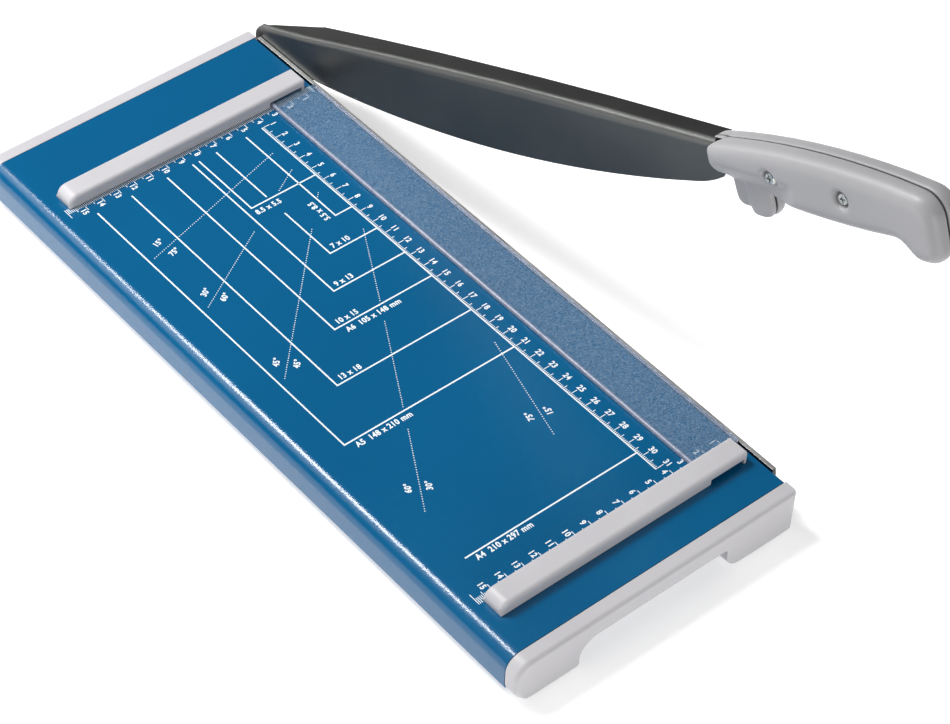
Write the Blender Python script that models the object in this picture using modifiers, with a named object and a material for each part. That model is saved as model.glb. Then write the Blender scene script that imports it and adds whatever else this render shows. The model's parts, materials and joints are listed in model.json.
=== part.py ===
"""Guillotine paper cutter: a folded steel table between two moulded end caps, with
stop rails, a clear guard, a fixed lower blade and a swinging blade arm.

Everything is laid out from the cut line. X is zero on the plane where the blades
shear, with the table at -X. Y is zero on the far stop rail's face and runs away from
the user. Z is zero on the desk. At the end the frame moves so that its origin lies
under the middle of the object. The arm is modelled closed, about its pivot, with
"out" the distance from the pivot towards the user, and is then raised."""

import math

import bmesh
import bpy
from mathutils import Euler, Matrix, Vector

# Clearances and cutter lengths
GAP = 0.0003
BORE_GAP = 0.0003
SHEAR_GAP = 0.0003
OVERRUN = 0.002
WELD = 0.000001

# Facets of arcs and of round pieces
ARC_STEP = math.radians(15)
FINE_ARC_STEP = math.radians(11.25)
ROUND_SIDES = 24
SMALL_SIDES = 14

# Table: one folded sheet, open below
CUT_LENGTH = 0.320
TABLE_WIDTH = 0.16845
TABLE_HEIGHT = 0.025
TABLE_BEFORE_STOP = 0.0324
TABLE_BEYOND_STOP = 0.0506
SHEET = 0.0012
LEFT_FOLD = 0.008
RIGHT_FOLD = 0.002
WALL_FOOT = 0.0045
LIP = 0.007
LIP_FOLD = 0.002

# End caps
CAP_DEPTH = 0.008
CAP_FACE_ROUND = 0.0024
CAP_ARCH_HEIGHT = 0.0148
CAP_LEFT_FOOT = 0.0371
CAP_RIGHT_FOOT = 0.0426
CAP_OUTER_TOE = 0.009
CAP_INNER_TOE = 0.009
CAP_SMALL_TOE = 0.0015
CAP_ARCH_LEFT_ROUND = 0.010
CAP_ARCH_RIGHT_ROUND = 0.002
CAP_SIDE_STEP = 0.00025
SHELF_DEPTH = 0.014
SHELF_THICK = 0.004
SHELF_LEFT_INSET = 0.0095
SHELF_RIGHT_INSET = 0.022
STUD_RADIUS = 0.002
STUD_TAIL = 0.0008
STUD_INSET = 0.012

# Rubber pads under the feet
PAD_PROUD = 0.0006
PAD_POCKET = 0.0008
PAD_LENGTH = 0.022
PAD_DEPTH = 0.0058
PAD_ROUND = 0.0015

# Stop rails
RAIL_HEIGHT = 0.007
RAIL_DEPTH = 0.0128
RAIL_LEFT_INSET = 0.0138
RAIL_RIGHT_INSET = 0.0082
RAIL_WALL = 0.0018
RAIL_EDGE_ROUND = 0.0013
RAIL_OUTER_ROUND = 0.0065
RAIL_INNER_ROUND = 0.003
RAIL_END_ROUND = 0.0015
RAIL_LEG = 0.0023
RAIL_NOTCH = 0.0208
RAIL_NOTCH_HEIGHT = 0.0034
RAIL_SOLID_END = 0.0075
RAIL_BOSS_RADIUS = 0.0032
RAIL_BOSS_INSET = 0.018
RAIL_SCREW_REACH = 0.004

# Clear guard, held down by tabs under the rails
GUARD_THICK = 0.0022
GUARD_WIDTH = 0.0281
GUARD_INSET = 0.0027
GUARD_FLOAT = 0.0003
GUARD_TAB_REACH = 0.009
GUARD_TAB_PLAY = 0.0005
GUARD_END_GAP = 0.0005
GUARD_EAR = 0.0015
GUARD_EDGE_ROUND = 0.0006
GUARD_CORNER_ROUND = 0.0012

# Lower blade
BAR_THICK = 0.0022
BAR_HEIGHT = 0.020
BAR_NEAR_MARGIN = 0.0059
BAR_FAR_MARGIN = 0.0012
BAR_SLANT = 0.003
BAR_SCREWS = 4
BAR_SCREW_INSET = 0.020
BAR_SCREW_PIVOT_MARGIN = 0.028

# Screws and nuts: radius is the shank's
SCREW_RADIUS = 0.0015
SCREW_HEAD_RADIUS = 0.003
SCREW_HEAD_THICK = 0.0018
SINK_HEAD_RADIUS = 0.0029
SINK_HEAD_DEPTH = 0.0014
SINK_BELOW = 0.0003
SCREW_TAIL = 0.0006
DRIVE_WIDTH = 0.0010
DRIVE_TIP_WIDTH = 0.0007
DRIVE_SPAN = 0.0036
DRIVE_DEPTH = 0.0009
NUT_RADIUS = 0.0034
NUT_THICK = 0.0024

# Pivot
PIVOT_FROM_STOP = 0.038
PIVOT_BELOW_TOP = 0.011
BOLT_RADIUS = 0.005
BOLT_HEAD_RADIUS = 0.0085
BOLT_HEAD_THICK = 0.0045
BOLT_TAIL = 0.0015
BOLT_EDGE_ROUND = 0.0006
BUSH_RADIUS = 0.007
BUSH_FLANGE_RADIUS = 0.009
BUSH_FLANGE_THICK = 0.001
WASHER_RADIUS = 0.009
SPRING_WASHER_THICK = 0.0008
FLAT_WASHER_THICK = 0.0012
LOCK_NUT_RADIUS = 0.0086
LOCK_NUT_THICK = 0.005
BLOCK_THICK = 0.008
BLOCK_LENGTH = 0.023
BLOCK_CORNER = 0.001

# Blade arm, folded along its top
ARM_THICK = 0.0025
ARM_BEND = 0.004
ARM_BEND_SIDES = 5
ARM_STATIONS = 12
ARM_SKIRT = 0.045
ARM_REAR = 0.0125
ARM_REAR_TOP = 0.0212
ARM_REAR_ROUND = 0.0114
FOLD_START = 0.034
FOLD_CROWN = 0.0024
FOLD_END_HEIGHT = 0.027
FLANGE_REACH = 0.014
FLANGE_HANDLE_REACH = 0.0122
FLANGE_CORNER_START = 0.0
FLANGE_CORNER_END = 0.038
FLANGE_TRIM_STEP = 0.00035
EDGE_START = 0.038
EDGE_START_HEIGHT = -0.0035
EDGE_HEEL = 0.036
EDGE_INTO_HANDLE = 0.003
EDGE_DROP = 0.0124
EDGE_RISE = 0.0163
EDGE_STATIONS = 20
EDGE_LOWEST_SHARE = 0.394
TIP_LENGTH = 0.018
TIP_RADIUS = 0.0635
TIP_STATIONS = 5
GRIND_HEIGHT = 0.005
GRIND_LAND = 0.00035
GRIND_OVERRUN = 0.001
TANG_BOTTOM = 0.0135
TANG_TOP = 0.0225
TANG_LENGTH = 0.095
TANG_SLOPE = 0.0026
TANG_ROUND = 0.003
TANG_SLOT_DEPTH = 0.006

# Handle: two moulded halves round the tang
HANDLE_BEYOND_CUT = 0.037
HANDLE_COVER = 0.0395
HANDLE_LEFT = 0.006
HANDLE_RIGHT = 0.014
HANDLE_SPLIT = 0.004
HANDLE_ROUND = 0.006
HANDLE_ROUND_SIDES = 4
HANDLE_FRONT_ROUND = 0.0038
HANDLE_CROWN = 0.0337
HANDLE_CROWN_OUT = 0.069
HANDLE_ARCH_RADIUS = 0.440
HANDLE_BELLY = 0.0050
HANDLE_BELLY_OUT = 0.078
HANDLE_BELLY_RADIUS = 0.460
HANDLE_STATIONS = 9
NOSE_BOTTOM = -0.0015
NOSE_TOP_ROUND = 0.011
NOSE_BOTTOM_ROUND = 0.0065
NOSE_SLOPE = 0.0085
NOSE_LENGTH = 0.022
COLLAR_BOTTOM = 0.0082
COLLAR_RIGHT = 0.0028
SLANT_FOOT = 0.0116
SLANT_MIDDLE = 0.0150
SLANT_MIDDLE_LEFT = 0.0030
SLANT_TOP = 0.0195
RAMP_START = 0.031
RAMP_CLEAR = 0.0422
RAMP_CLEAR_LEFT = 0.0021
RAMP_END = 0.054
CHAMFER_LENGTH = 0.0063
CHAMFER_DROP = 0.0011
CHAMFER_RISE = 0.0033
HOOD_REACH = 0.0016
HOOD_LENGTH = 0.0079
HOOD_LEFT = 0.0015
HOOD_RIGHT = 0.0111
LOBE_LEFT = 0.0018
LOBE_RIGHT = 0.0085
LOBE_START = 0.0062
LOBE_LENGTH = 0.0115
LOBE_BOTTOM = -0.0037
LOBE_ROUND = 0.0045
BOSS_LEFT = 0.0006
BOSS_RIGHT = 0.0095
BOSS_START = 0.0158
BOSS_LENGTH = 0.0152
BOSS_BOTTOM = -0.0063
BOSS_TOE_ROUND = 0.0032
BOSS_HEEL_ROUND = 0.0072
LUG_EDGE_ROUND = 0.0018
LUG_EDGE_SIDES = 3
LUG_TOP = 0.0122
RECESS_RADIUS = 0.0041
RECESS_DEPTH = 0.0037
FRONT_SCREW_OUT = 0.0389
FRONT_SCREW_HEIGHT = 0.0190
REAR_SCREW_FROM_END = 0.0120
REAR_SCREW_HEIGHT = 0.0190
HANDLE_SCREW_REACH = 0.011
TANG_HOLE_RADIUS = 0.0022
ARM_RAISED = math.radians(23.4)

# Places that several pieces share
BAR_FACE_X = -SHEAR_GAP / 2
BAR_BACK_X = BAR_FACE_X - BAR_THICK
WALL_X = BAR_BACK_X - GAP
TABLE_LEFT_X = WALL_X - TABLE_WIDTH
WALL_INSIDE_X = WALL_X - SHEET
ARM_FACE_X = SHEAR_GAP / 2
ARM_OUTER_X = ARM_FACE_X + ARM_THICK
PIVOT_HEIGHT = TABLE_HEIGHT - PIVOT_BELOW_TOP
HANDLE_START = CUT_LENGTH + HANDLE_BEYOND_CUT
TANG_END = HANDLE_START + TANG_LENGTH
HANDLE_END = TANG_END + HANDLE_COVER
EDGE_END = HANDLE_START + EDGE_INTO_HANDLE
EDGE_TIP = EDGE_END - TIP_LENGTH
EDGE_LOWEST = EDGE_START + (EDGE_END - EDGE_START) * EDGE_LOWEST_SHARE
EDGE_RADIUS = ((EDGE_TIP - EDGE_LOWEST) ** 2 + EDGE_RISE**2) / (2 * EDGE_RISE)
NEAR_SEAM_Y = -(CUT_LENGTH + TABLE_BEFORE_STOP)
FAR_SEAM_Y = TABLE_BEYOND_STOP
DECK_UNDER_Z = TABLE_HEIGHT - SHEET
CAP_RIGHT_X = WALL_X + CAP_SIDE_STEP
RAIL_LEFT_X = TABLE_LEFT_X + RAIL_LEFT_INSET
RAIL_RIGHT_X = -RAIL_RIGHT_INSET
RAIL_BASE_Z = TABLE_HEIGHT + GAP
RAIL_SCREW_XS = (RAIL_LEFT_X + RAIL_BOSS_INSET, RAIL_RIGHT_X - RAIL_LEG - RAIL_NOTCH - RAIL_BOSS_INSET)
RAIL_FACES = {"near": (-CUT_LENGTH, -1), "far": (0, 1)}
CAP_SEAMS = {"near": (NEAR_SEAM_Y, -1), "far": (FAR_SEAM_Y, 1)}
SHELF_TOP_Z = DECK_UNDER_Z - GAP
SHELF_X = (TABLE_LEFT_X + SHELF_LEFT_INSET, WALL_X - SHELF_RIGHT_INSET)
STUD_XS = (SHELF_X[0] + STUD_INSET, SHELF_X[1] - STUD_INSET)
BAR_NEAR_Y = NEAR_SEAM_Y + BAR_NEAR_MARGIN
BAR_FAR_Y = FAR_SEAM_Y - BAR_FAR_MARGIN
BAR_MIDDLE_Z = TABLE_HEIGHT - BAR_HEIGHT / 2
BLOCK_INSIDE_X = WALL_INSIDE_X - GAP - BLOCK_THICK
BUSH_OUTER_X = ARM_OUTER_X + GAP + BUSH_FLANGE_THICK
BOLT_SEAT_X = BUSH_OUTER_X + GAP + SPRING_WASHER_THICK + GAP
NUT_SEAT_X = BLOCK_INSIDE_X - GAP - FLAT_WASHER_THICK - GAP
SCREW_BORE = SCREW_RADIUS + BORE_GAP
BOLT_BORE = BOLT_RADIUS + BORE_GAP
SIDES = ("left", "right")

PLANES = {
    "XY": Matrix(((1, 0, 0), (0, 1, 0), (0, 0, 1))),
    "XZ": Matrix(((1, 0, 0), (0, 0, -1), (0, 1, 0))),
    "YZ": Matrix(((0, 0, 1), (1, 0, 0), (0, 1, 0))),
}
ALONG_X = (0, math.radians(90), 0)
BACK_ALONG_X = (0, math.radians(-90), 0)


def clear_scene():
    for piece in list(bpy.data.objects):
        bpy.data.objects.remove(piece, do_unlink=True)
    for group in list(bpy.data.collections):
        bpy.data.collections.remove(group)


def new_collection(name):
    group = bpy.data.collections.new(name)
    bpy.context.scene.collection.children.link(group)
    return group


def new_material(name, color, roughness, metallic, alpha=1.0):
    paint = bpy.data.materials.new(name)
    paint.use_nodes = True
    paint.diffuse_color = (*color, alpha)
    shader = paint.node_tree.nodes["Principled BSDF"]
    shader.inputs["Base Color"].default_value = (*color, 1.0)
    shader.inputs["Roughness"].default_value = roughness
    shader.inputs["Metallic"].default_value = metallic
    shader.inputs["Alpha"].default_value = alpha
    return paint


clear_scene()
PARTS = new_collection("guillotine_paper_cutter")
CUTTERS = new_collection("cutters")
BLUE_PAINT = new_material("blue_paint", (0.010, 0.105, 0.245), 0.35, 0.0)
GREY_PLASTIC = new_material("grey_plastic", (0.52, 0.51, 0.49), 0.55, 0.0)
HANDLE_PLASTIC = new_material("handle_plastic", (0.40, 0.40, 0.39), 0.45, 0.0)
BLADE_STEEL = new_material("blade_steel", (0.055, 0.062, 0.072), 0.38, 0.9)
BAR_STEEL = new_material("bar_steel", (0.020, 0.020, 0.022), 0.35, 0.9)
ZINC = new_material("zinc", (0.55, 0.55, 0.52), 0.30, 1.0)
BRASS = new_material("brass", (0.60, 0.42, 0.16), 0.30, 1.0)
RUBBER = new_material("rubber", (0.015, 0.015, 0.015), 0.80, 0.0)
CLEAR_SHEET = new_material("clear_sheet", (0.35, 0.48, 0.60), 0.50, 0.0, 0.55)


def empty_at(name, location, parent=None):
    mark = bpy.data.objects.new(name, None)
    mark.location = location
    mark.parent = parent
    PARTS.objects.link(mark)
    return mark


FRAME = empty_at("cutter_frame", (0, 0, 0))
ARM = empty_at("arm_pivot", (0, PIVOT_FROM_STOP, PIVOT_HEIGHT), FRAME)
ARM.rotation_euler.x = -ARM_RAISED


def new_piece(name, mesh, finish, parent=FRAME, place=(0, 0, 0), turn=(0, 0, 0)):
    """A sub-part with its own finish, or a cutter where the finish is None."""
    piece = bpy.data.objects.new(name, mesh)
    piece.parent = parent
    piece.location = place
    piece.rotation_euler = turn
    if finish is None:
        piece.hide_render = True
        piece.display_type = "WIRE"
        CUTTERS.objects.link(piece)
    else:
        mesh.materials.append(finish)
        mesh.shade_smooth()
        mesh.set_sharp_from_angle(angle=math.radians(30))
        PARTS.objects.link(piece)
    return piece


def arc(center, radius, start, end, step=ARC_STEP):
    """Points on an arc from the start angle to the end angle, both ends included."""
    count = max(2, math.ceil(abs(end - start) / step - WELD))
    angles = [start + (end - start) * i / count for i in range(count + 1)]
    return [Vector((center[0] + radius * math.cos(a), center[1] + radius * math.sin(a))) for a in angles]


def rounded(corners, step=ARC_STEP):
    """Outline through corners given as (x, y, fillet radius)."""
    outline = []
    for i, (x, y, radius) in enumerate(corners):
        here = Vector((x, y))
        if radius == 0:
            outline.append(here)
            continue
        before = (Vector(corners[i - 1][:2]) - here).normalized()
        after = (Vector(corners[(i + 1) % len(corners)][:2]) - here).normalized()
        half = before.angle(after) / 2
        center = here + (before + after).normalized() * radius / math.sin(half)
        first = here + before * radius / math.tan(half) - center
        last = here + after * radius / math.tan(half) - center
        start = math.atan2(first.y, first.x)
        sweep = (math.atan2(last.y, last.x) - start + math.pi) % math.tau - math.pi
        outline += arc(center, radius, start, start + sweep, step)
    return outline


def circle(center, radius, sides):
    return arc(center, radius, 0, math.tau, math.tau / sides)[:-1]


def curve_mesh(name, loops, low, high, plane, is_open=False):
    """A flat curve pushed through from low to high along the plane's normal, as a mesh."""
    curve = bpy.data.curves.new(name, "CURVE")
    curve.dimensions = "2D"
    curve.fill_mode = "NONE" if is_open else "BOTH"
    curve.extrude = (high - low) / 2
    for loop in loops:
        spline = curve.splines.new("POLY")
        spline.points.add(len(loop) - 1)
        for point, place in zip(spline.points, loop):
            point.co = (place[0], place[1], 0, 1)
        spline.use_cyclic_u = not is_open
    guide = bpy.data.objects.new(name, curve)
    middle = (low + high) / 2
    if plane == "XZ":
        middle = -middle
    guide.matrix_world = PLANES[plane].to_4x4() @ Matrix.Translation((0, 0, middle))
    bpy.context.scene.collection.objects.link(guide)
    bpy.context.view_layer.update()
    graph = bpy.context.evaluated_depsgraph_get()
    mesh = bpy.data.meshes.new_from_object(guide.evaluated_get(graph))
    mesh.transform(guide.matrix_world)
    mesh.materials.clear()
    bpy.data.objects.remove(guide, do_unlink=True)
    shape = bmesh.new()
    shape.from_mesh(mesh)
    bmesh.ops.remove_doubles(shape, verts=shape.verts, dist=WELD)
    bmesh.ops.dissolve_limit(
        shape, angle_limit=math.radians(0.05), verts=shape.verts, edges=shape.edges
    )
    bmesh.ops.recalc_face_normals(shape, faces=shape.faces)
    shape.to_mesh(mesh)
    shape.free()
    return mesh


def extruded(name, loops, low, high, plane, finish=None, parent=FRAME):
    return new_piece(name, curve_mesh(name, loops, low, high, plane), finish, parent)


def block(name, low, high, finish=None, parent=FRAME):
    """A box between two corners, from the cube primitive."""
    shape = bmesh.new()
    bmesh.ops.create_cube(shape, size=1)
    for vertex in shape.verts:
        for axis in range(3):
            vertex.co[axis] = high[axis] if vertex.co[axis] > 0 else low[axis]
    mesh = bpy.data.meshes.new(name)
    shape.to_mesh(mesh)
    shape.free()
    return new_piece(name, mesh, finish, parent)


def rod(name, radius, start, end, place, turn, sides=ROUND_SIDES, parent=FRAME, finish=None):
    """A cylinder along its own Z from start to end."""
    shape = bmesh.new()
    bmesh.ops.create_cone(
        shape, cap_ends=True, segments=sides, radius1=radius, radius2=radius, depth=end - start
    )
    bmesh.ops.translate(shape, verts=shape.verts, vec=(0, 0, (start + end) / 2))
    mesh = bpy.data.meshes.new(name)
    shape.to_mesh(mesh)
    shape.free()
    return new_piece(name, mesh, finish, parent, place, turn)


def turned(name, profile, finish, place, turn, is_ring=False, sides=ROUND_SIDES, parent=FRAME):
    """A profile of (radius, height) points, top to bottom down its outer side, spun about Z."""
    shape = bmesh.new()
    points = [shape.verts.new((radius, 0, height)) for radius, height in profile]
    for i in range(len(points) - (0 if is_ring else 1)):
        shape.edges.new((points[i], points[(i + 1) % len(points)]))
    mesh = bpy.data.meshes.new(name)
    shape.to_mesh(mesh)
    shape.free()
    piece = new_piece(name, mesh, finish, parent, place, turn)
    spin = piece.modifiers.new("spin", "SCREW")
    spin.axis = "Z"
    spin.steps = sides
    spin.render_steps = sides
    spin.use_merge_vertices = True
    spin.merge_threshold = WELD
    spin.use_smooth_shade = True
    return piece


def boolean(target, other, operation):
    step = target.modifiers.new(other.name, "BOOLEAN")
    step.operation = operation
    step.solver = "EXACT"
    step.object = other


def cut(target, *cutters):
    for cutter in cutters:
        boolean(target, cutter, "DIFFERENCE")


def join(target, *additions):
    for addition in additions:
        boolean(target, addition, "UNION")


def drill(target, name, radius, low, high, places, turn=(0, 0, 0), sides=SMALL_SIDES):
    """Cuts a round hole at each place, from low to high along the Z of the given turn."""
    shape = bmesh.new()
    shift = Matrix.Translation((0, 0, (low + high) / 2))
    for place in places:
        bmesh.ops.create_cone(
            shape, cap_ends=True, segments=sides, radius1=radius, radius2=radius, depth=high - low,
            matrix=Matrix.Translation(place) @ Euler(turn).to_matrix().to_4x4() @ shift,
        )
    mesh = bpy.data.meshes.new(name)
    shape.to_mesh(mesh)
    shape.free()
    cut(target, new_piece(name, mesh, None, target.parent))


def round_edges(piece, radius, sides, choose):
    """Rounds the edges whose two ends pass the test."""
    shape = bmesh.new()
    shape.from_mesh(piece.data)
    edges = [edge for edge in shape.edges if choose(*[vertex.co for vertex in edge.verts])]
    bmesh.ops.bevel(
        shape, geom=edges, offset=radius, offset_type="OFFSET", segments=sides, profile=0.5,
        affect="EDGES", clamp_overlap=False,
    )
    shape.to_mesh(piece.data)
    shape.free()
    piece.data.shade_smooth()
    piece.data.set_sharp_from_angle(angle=math.radians(30))


def both_at(axis, level):
    """Test for edges that lie in the plane where the axis has this level."""
    return lambda a, b: abs(a[axis] - level) < WELD and abs(b[axis] - level) < WELD


def cross_drive(screw, low, high):
    """Cuts a cross drive with tapered wings into a screw, from low to high on its own Z."""
    wing, web, tip = DRIVE_SPAN / 2, DRIVE_WIDTH / 2, DRIVE_TIP_WIDTH / 2
    outline = [
        (wing, -tip), (wing, tip), (web, web), (tip, wing), (-tip, wing), (-web, web),
        (-wing, tip), (-wing, -tip), (-web, -web), (-tip, -wing), (tip, -wing), (web, -web),
    ]
    name = screw.name + "_drive"
    mesh = curve_mesh(name, [outline], low, high, "XY")
    cut(screw, new_piece(name, mesh, None, screw.parent, screw.location, screw.rotation_euler))


def pan_screw(name, reach, place, turn, parent=FRAME):
    """Screw along its own Z: the shank climbs from the seat at zero, the head hangs below."""
    profile = [
        (0, reach), (SCREW_RADIUS - SCREW_TAIL / 2, reach), (SCREW_RADIUS, reach - SCREW_TAIL),
        (SCREW_RADIUS, 0), (SCREW_HEAD_RADIUS, 0), (SCREW_HEAD_RADIUS, -SCREW_HEAD_THICK / 2),
        (SCREW_HEAD_RADIUS - SCREW_TAIL, -SCREW_HEAD_THICK), (0, -SCREW_HEAD_THICK),
    ]
    screw = turned(name, profile, ZINC, place, turn, sides=SMALL_SIDES, parent=parent)
    cross_drive(screw, -SCREW_HEAD_THICK - OVERRUN, DRIVE_DEPTH - SCREW_HEAD_THICK)


def hexagon(radius):
    return circle((0, 0), radius, 6)


def nut(name, radius, bore, thick, place, turn):
    """Hexagon nut from its seat at zero up its own Z."""
    mesh = curve_mesh(name, [hexagon(radius), circle((0, 0), bore, SMALL_SIDES)], 0, thick, "XY")
    return new_piece(name, mesh, ZINC, FRAME, place, turn)


def make_table_deck():
    """The sheet folds down at both sides and turns in under them."""
    chain = rounded([
        (TABLE_LEFT_X + LIP, WALL_FOOT, 0),
        (TABLE_LEFT_X, WALL_FOOT, LIP_FOLD),
        (TABLE_LEFT_X, TABLE_HEIGHT, LEFT_FOLD),
        (WALL_X, TABLE_HEIGHT, RIGHT_FOLD),
        (WALL_X, WALL_FOOT, LIP_FOLD),
        (WALL_X - LIP, WALL_FOOT, 0),
    ], FINE_ARC_STEP)
    mesh = curve_mesh("table_deck", [chain], NEAR_SEAM_Y + GAP, FAR_SEAM_Y - GAP, "XZ", is_open=True)
    shape = bmesh.new()
    shape.from_mesh(mesh)
    top = max(shape.faces, key=lambda face: face.calc_center_median().z)
    if top.normal.z < 0:
        bmesh.ops.reverse_faces(shape, faces=shape.faces)
    shape.to_mesh(mesh)
    shape.free()
    deck = new_piece("table_deck", mesh, BLUE_PAINT)
    shell = deck.modifiers.new("sheet", "SOLIDIFY")
    shell.thickness = SHEET
    shell.offset = -1
    shell.use_even_offset = True
    for end, (seam, side) in CAP_SEAMS.items():
        for i, x in enumerate(STUD_XS):
            place = (x, seam - side * SHELF_DEPTH / 2, 0)
            bottom = SHELF_TOP_Z - SHELF_THICK - GAP - NUT_THICK - STUD_TAIL
            top = TABLE_HEIGHT - SHEET / 2
            join(deck, rod(f"deck_stud_{end}_{i}", STUD_RADIUS, bottom, top, place, (0, 0, 0), SMALL_SIDES))
    low, high = -SHEET - OVERRUN, OVERRUN
    rail_ys = [face + side * RAIL_DEPTH / 2 for face, side in RAIL_FACES.values()]
    places = [(x, y, TABLE_HEIGHT) for x in RAIL_SCREW_XS for y in rail_ys]
    drill(deck, "deck_rail_holes", SCREW_BORE, low, high, places)
    places = [(WALL_X, y, BAR_MIDDLE_Z) for y in bar_screw_ys()]
    drill(deck, "deck_bar_holes", SCREW_BORE, low, high, places, ALONG_X)
    place = (WALL_X, PIVOT_FROM_STOP, PIVOT_HEIGHT)
    drill(deck, "deck_pivot_hole", BOLT_BORE, low, high, [place], ALONG_X, ROUND_SIDES)


def bar_screw_ys():
    """The lower blade's screws, evenly spaced from its near end to short of the pivot."""
    first = BAR_NEAR_Y + BAR_SCREW_INSET
    last = PIVOT_FROM_STOP - BAR_SCREW_PIVOT_MARGIN
    return [first + (last - first) * i / (BAR_SCREWS - 1) for i in range(BAR_SCREWS)]


def foot_centers():
    """Middle of each foot's sole as (name, x)."""
    left = TABLE_LEFT_X + CAP_OUTER_TOE + (CAP_LEFT_FOOT - CAP_OUTER_TOE) / 2
    right = CAP_RIGHT_X - (CAP_RIGHT_FOOT - CAP_INNER_TOE) / 2
    return [("left", left), ("right", right)]


def make_end_cap(end):
    """Arched plate with rounded toes, a shelf under the deck and a pocket for each pad."""
    seam, side = CAP_SEAMS[end]
    face = seam + side * CAP_DEPTH
    low, high = sorted((seam, face))
    outline = rounded([
        (TABLE_LEFT_X, PAD_PROUD, CAP_OUTER_TOE),
        (TABLE_LEFT_X, TABLE_HEIGHT, LEFT_FOLD),
        (CAP_RIGHT_X, TABLE_HEIGHT, 0),
        (CAP_RIGHT_X, PAD_PROUD, 0),
        (CAP_RIGHT_X - CAP_RIGHT_FOOT, PAD_PROUD, CAP_INNER_TOE),
        (CAP_RIGHT_X - CAP_RIGHT_FOOT, CAP_ARCH_HEIGHT, CAP_ARCH_RIGHT_ROUND),
        (TABLE_LEFT_X + CAP_LEFT_FOOT, CAP_ARCH_HEIGHT, CAP_ARCH_LEFT_ROUND),
        (TABLE_LEFT_X + CAP_LEFT_FOOT, PAD_PROUD, CAP_SMALL_TOE),
    ])
    cap = extruded(f"{end}_end_cap", [outline], low, high, "XZ", GREY_PLASTIC)
    arch_left = TABLE_LEFT_X + CAP_LEFT_FOOT
    arch_right = CAP_RIGHT_X - CAP_RIGHT_FOOT
    on_face = both_at(1, face)

    def under_arch(a, b):
        """An edge of the face that belongs to the soles or to the arch."""
        middle = (a + b) / 2
        is_low = middle.z < PAD_PROUD + CAP_SMALL_TOE
        is_between = arch_left - WELD < middle.x < arch_right + CAP_INNER_TOE
        return on_face(a, b) and (is_low or is_between and middle.z < CAP_ARCH_HEIGHT + WELD)

    def round_the_top(a, b):
        return on_face(a, b) and not under_arch(a, b)

    round_edges(cap, CAP_FACE_ROUND, 3, round_the_top)
    shelf_low, shelf_high = sorted((seam + side * CAP_DEPTH / 2, seam - side * SHELF_DEPTH))
    shelf_bottom = SHELF_TOP_Z - SHELF_THICK
    shelf = block(
        f"{end}_cap_shelf", (SHELF_X[0], shelf_low, shelf_bottom), (SHELF_X[1], shelf_high, SHELF_TOP_Z)
    )
    join(cap, shelf)
    bore = STUD_RADIUS + BORE_GAP
    stud_y = seam - side * SHELF_DEPTH / 2
    places = [(x, stud_y, SHELF_TOP_Z) for x in STUD_XS]
    drill(cap, f"{end}_cap_stud_holes", bore, -SHELF_THICK - OVERRUN, OVERRUN, places)
    for side_name, x in zip(SIDES, STUD_XS):
        seat = (x, stud_y, shelf_bottom - GAP - NUT_THICK)
        nut(f"end_cap_nut_{end}_{side_name}", NUT_RADIUS, bore, NUT_THICK, seat, (0, 0, 0))
    middle = (seam + face) / 2
    for foot, x in foot_centers():
        half_x, half_y = PAD_LENGTH / 2, PAD_DEPTH / 2
        pocket_low = (x - half_x - GAP, middle - half_y - GAP, -OVERRUN)
        pocket_high = (x + half_x + GAP, middle + half_y + GAP, PAD_PROUD + PAD_POCKET)
        cut(cap, block(f"{end}_{foot}_pad_pocket", pocket_low, pocket_high))
        pad_outline = rounded([
            (x - half_x, middle - half_y, PAD_ROUND),
            (x + half_x, middle - half_y, PAD_ROUND),
            (x + half_x, middle + half_y, PAD_ROUND),
            (x - half_x, middle + half_y, PAD_ROUND),
        ], math.radians(30))
        extruded(f"foot_pad_{end}_{foot}", [pad_outline], 0, PAD_PROUD + PAD_POCKET - GAP, "XY", RUBBER)


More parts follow.
